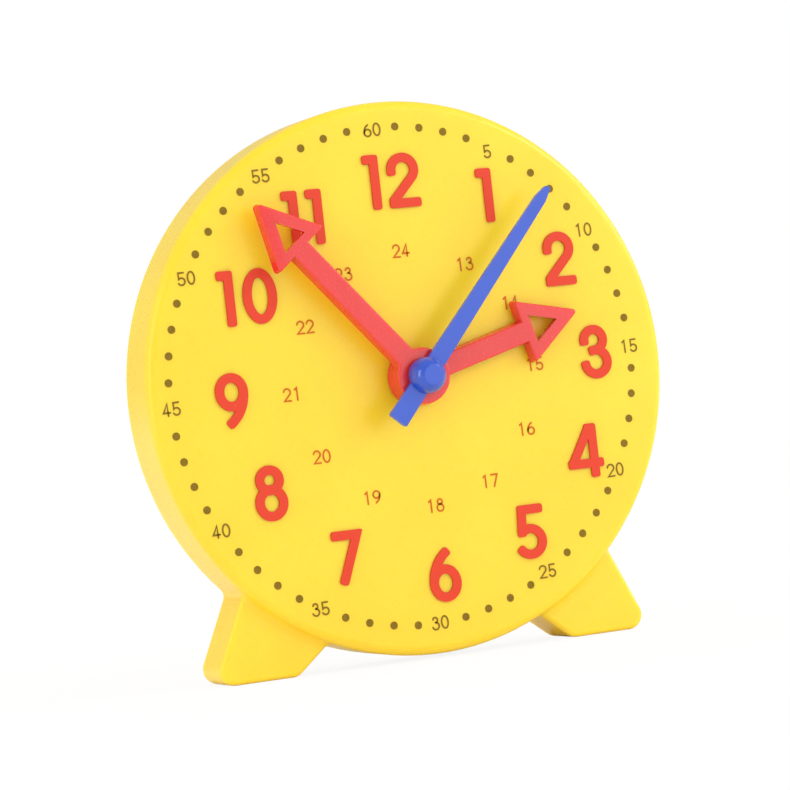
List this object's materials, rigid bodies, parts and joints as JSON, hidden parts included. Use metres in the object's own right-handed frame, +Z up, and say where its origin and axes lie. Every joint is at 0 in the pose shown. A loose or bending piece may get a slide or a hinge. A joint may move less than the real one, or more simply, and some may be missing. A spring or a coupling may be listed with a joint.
{
  "type": "geared teaching clock",
  "caption": "Round toy teaching clock on two splayed feet, with raised numerals, an hour hand geared to the minute hand and a free second hand with a finger knob.",
  "frame": {"origin": "on the ground under the feet, at the middle of the overall width and depth", "axes": "+Z up, +X to the right of the dial seen from the front, +Y from the dial to the back; the dial faces -Y and the shaft axis runs along +Y at x 0, z 50.7 mm"},
  "size_m": [0.1, 0.022, 0.1007],
  "materials": {
    "yellow_plastic": "smooth moulded, satin gloss",
    "red_print": "hot-stamped red foil on raised numerals",
    "brown_print": "pad-printed ink of the minute dots and minute numerals on the dial",
    "red_plastic": "smooth moulded, satin gloss",
    "blue_plastic": "smooth moulded, gloss",
    "white_plastic": "natural moulded acetal",
    "steel": "drawn steel pin",
    "zinc_steel": "bright zinc plated",
    "spring_steel": "rolled spring steel"
  },
  "bodies": {
    "case": {"front_case": "yellow_plastic", "back_cover": "yellow_plastic", "cover_screws": "zinc_steel", "gear_bridge": "white_plastic", "bridge_screws": "zinc_steel", "hour_numerals": "red_print", "hour_washer": "spring_steel", "motion_stud": "steel", "motion_washer": "white_plastic", "minute_spring_washer": "spring_steel"},
    "hour": {"hour_hand": "red_plastic", "hour_wheel": "white_plastic"},
    "minute": {"minute_hand": "red_plastic", "minute_arbor": "white_plastic"},
    "motion": {"motion_wheel": "white_plastic"},
    "second": {"second_hand": "blue_plastic", "second_arbor": "steel", "second_washer": "spring_steel", "second_spring_washer": "spring_steel", "second_retainer": "spring_steel"}
  },
  "joints": [
    {"name": "minute_turn", "type": "hinge", "parent": "case", "child": "minute", "pos_m": [0, 0, 0.0507], "axis": [0, 1, 0], "continuous": true},
    {"name": "hour_turn", "type": "hinge", "parent": "case", "child": "hour", "pos_m": [0, 0, 0.0507], "axis": [0, 1, 0], "continuous": true},
    {"name": "motion_turn", "type": "hinge", "parent": "case", "child": "motion", "pos_m": [0, 0, 0.0267], "axis": [0, 1, 0], "continuous": true},
    {"name": "second_turn", "type": "hinge", "parent": "case", "child": "second", "pos_m": [0, 0, 0.0507], "axis": [0, 1, 0], "continuous": true}
  ],
  "couplings": [
    {"joint": "hour_turn", "follows": "minute_turn", "ratio": 0.083333},
    {"joint": "motion_turn", "follows": "minute_turn", "ratio": -0.33333}
  ]
}
